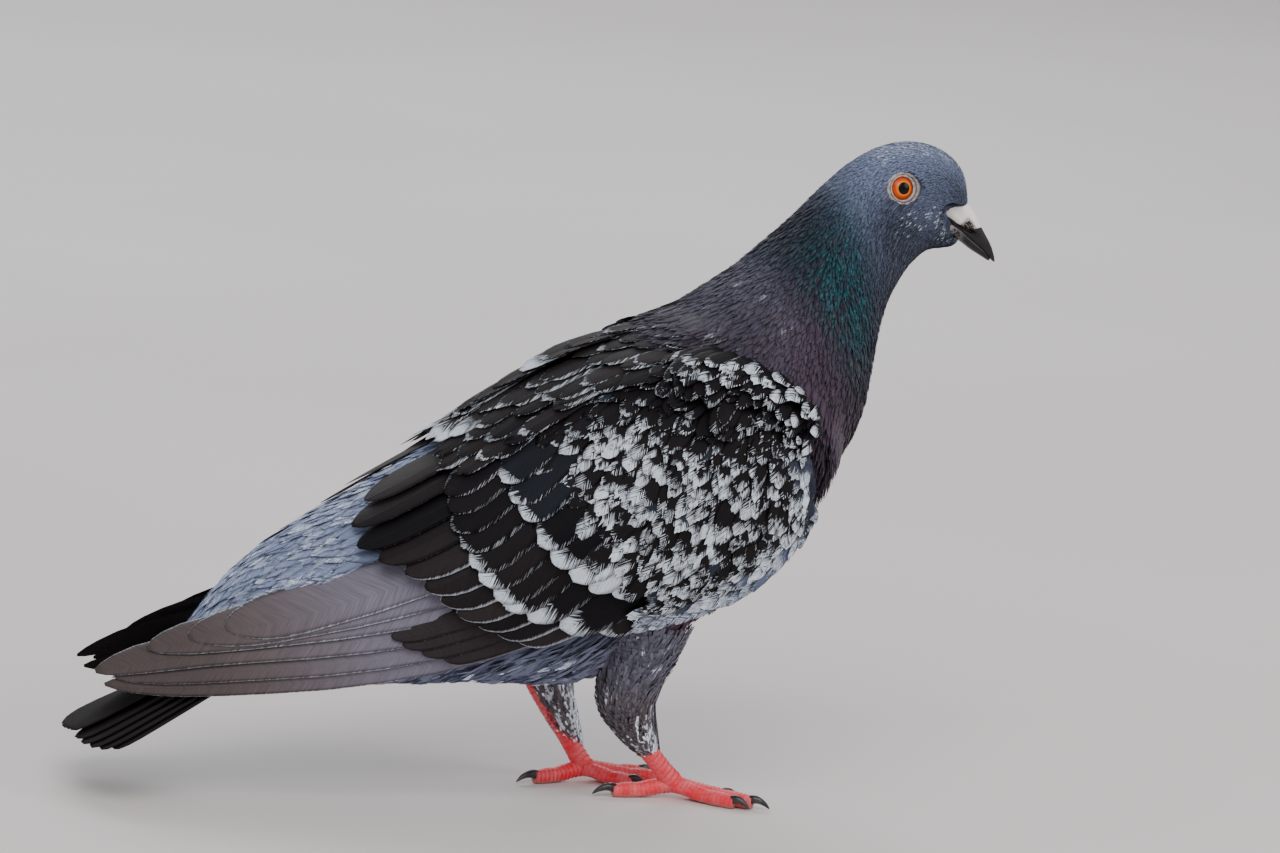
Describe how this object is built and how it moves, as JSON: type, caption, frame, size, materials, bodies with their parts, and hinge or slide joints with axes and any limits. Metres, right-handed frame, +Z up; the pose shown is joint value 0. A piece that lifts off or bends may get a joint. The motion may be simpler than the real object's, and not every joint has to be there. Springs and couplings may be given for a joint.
{
  "type": "feral pigeon",
  "caption": "Feral pigeon standing still, life size, head up, wings folded over the rump, tail down and back, dark plumage spotted with white.",
  "frame": {"origin": "middle of the bounding box in plan, on the floor the feet stand on", "axes": "+X from tail to bill, the way the bird faces; +Y to the bird's left; +Z up"},
  "size_m": [0.2706, 0.0956, 0.1924],
  "materials": {
    "feather_dark": "dark brown-grey plumage of the back and breast",
    "feather_neck": "grey plumage with a green and purple sheen",
    "feather_head": "slate blue-grey plumage",
    "feather_rump": "pale grey plumage with dark mottling",
    "feather_flight": "dark brown and white wing and tail feathers",
    "feather_leg": "grey-brown downy plumage",
    "bill": "dark horn with a soft shine",
    "cere": "chalky white skin",
    "eye": "orange-red iris under a clear cornea",
    "eye_ring": "pale bare skin",
    "skin_red": "coral red scaly skin",
    "claw": "dark grey horn"
  },
  "bodies": {
    "root": {"torso": "feather_dark", "rump": "feather_rump", "neck": "feather_neck", "head": "feather_head", "upper_bill": "bill", "lower_bill": "bill", "cere": "cere", "tail": "feather_flight", "eye_right": "eye", "eye_ring_right": "eye_ring", "wing_right": "feather_flight", "thigh_right": "feather_leg", "shank_right": "skin_red", "foot_right": "skin_red", "claw_right_1": "claw", "claw_right_2": "claw", "claw_right_3": "claw", "claw_right_4": "claw", "eye_left": "eye", "eye_ring_left": "eye_ring", "wing_left": "feather_flight", "thigh_left": "feather_leg", "shank_left": "skin_red", "foot_left": "skin_red", "claw_left_1": "claw", "claw_left_2": "claw", "claw_left_3": "claw", "claw_left_4": "claw"}
  },
  "joints": []
}
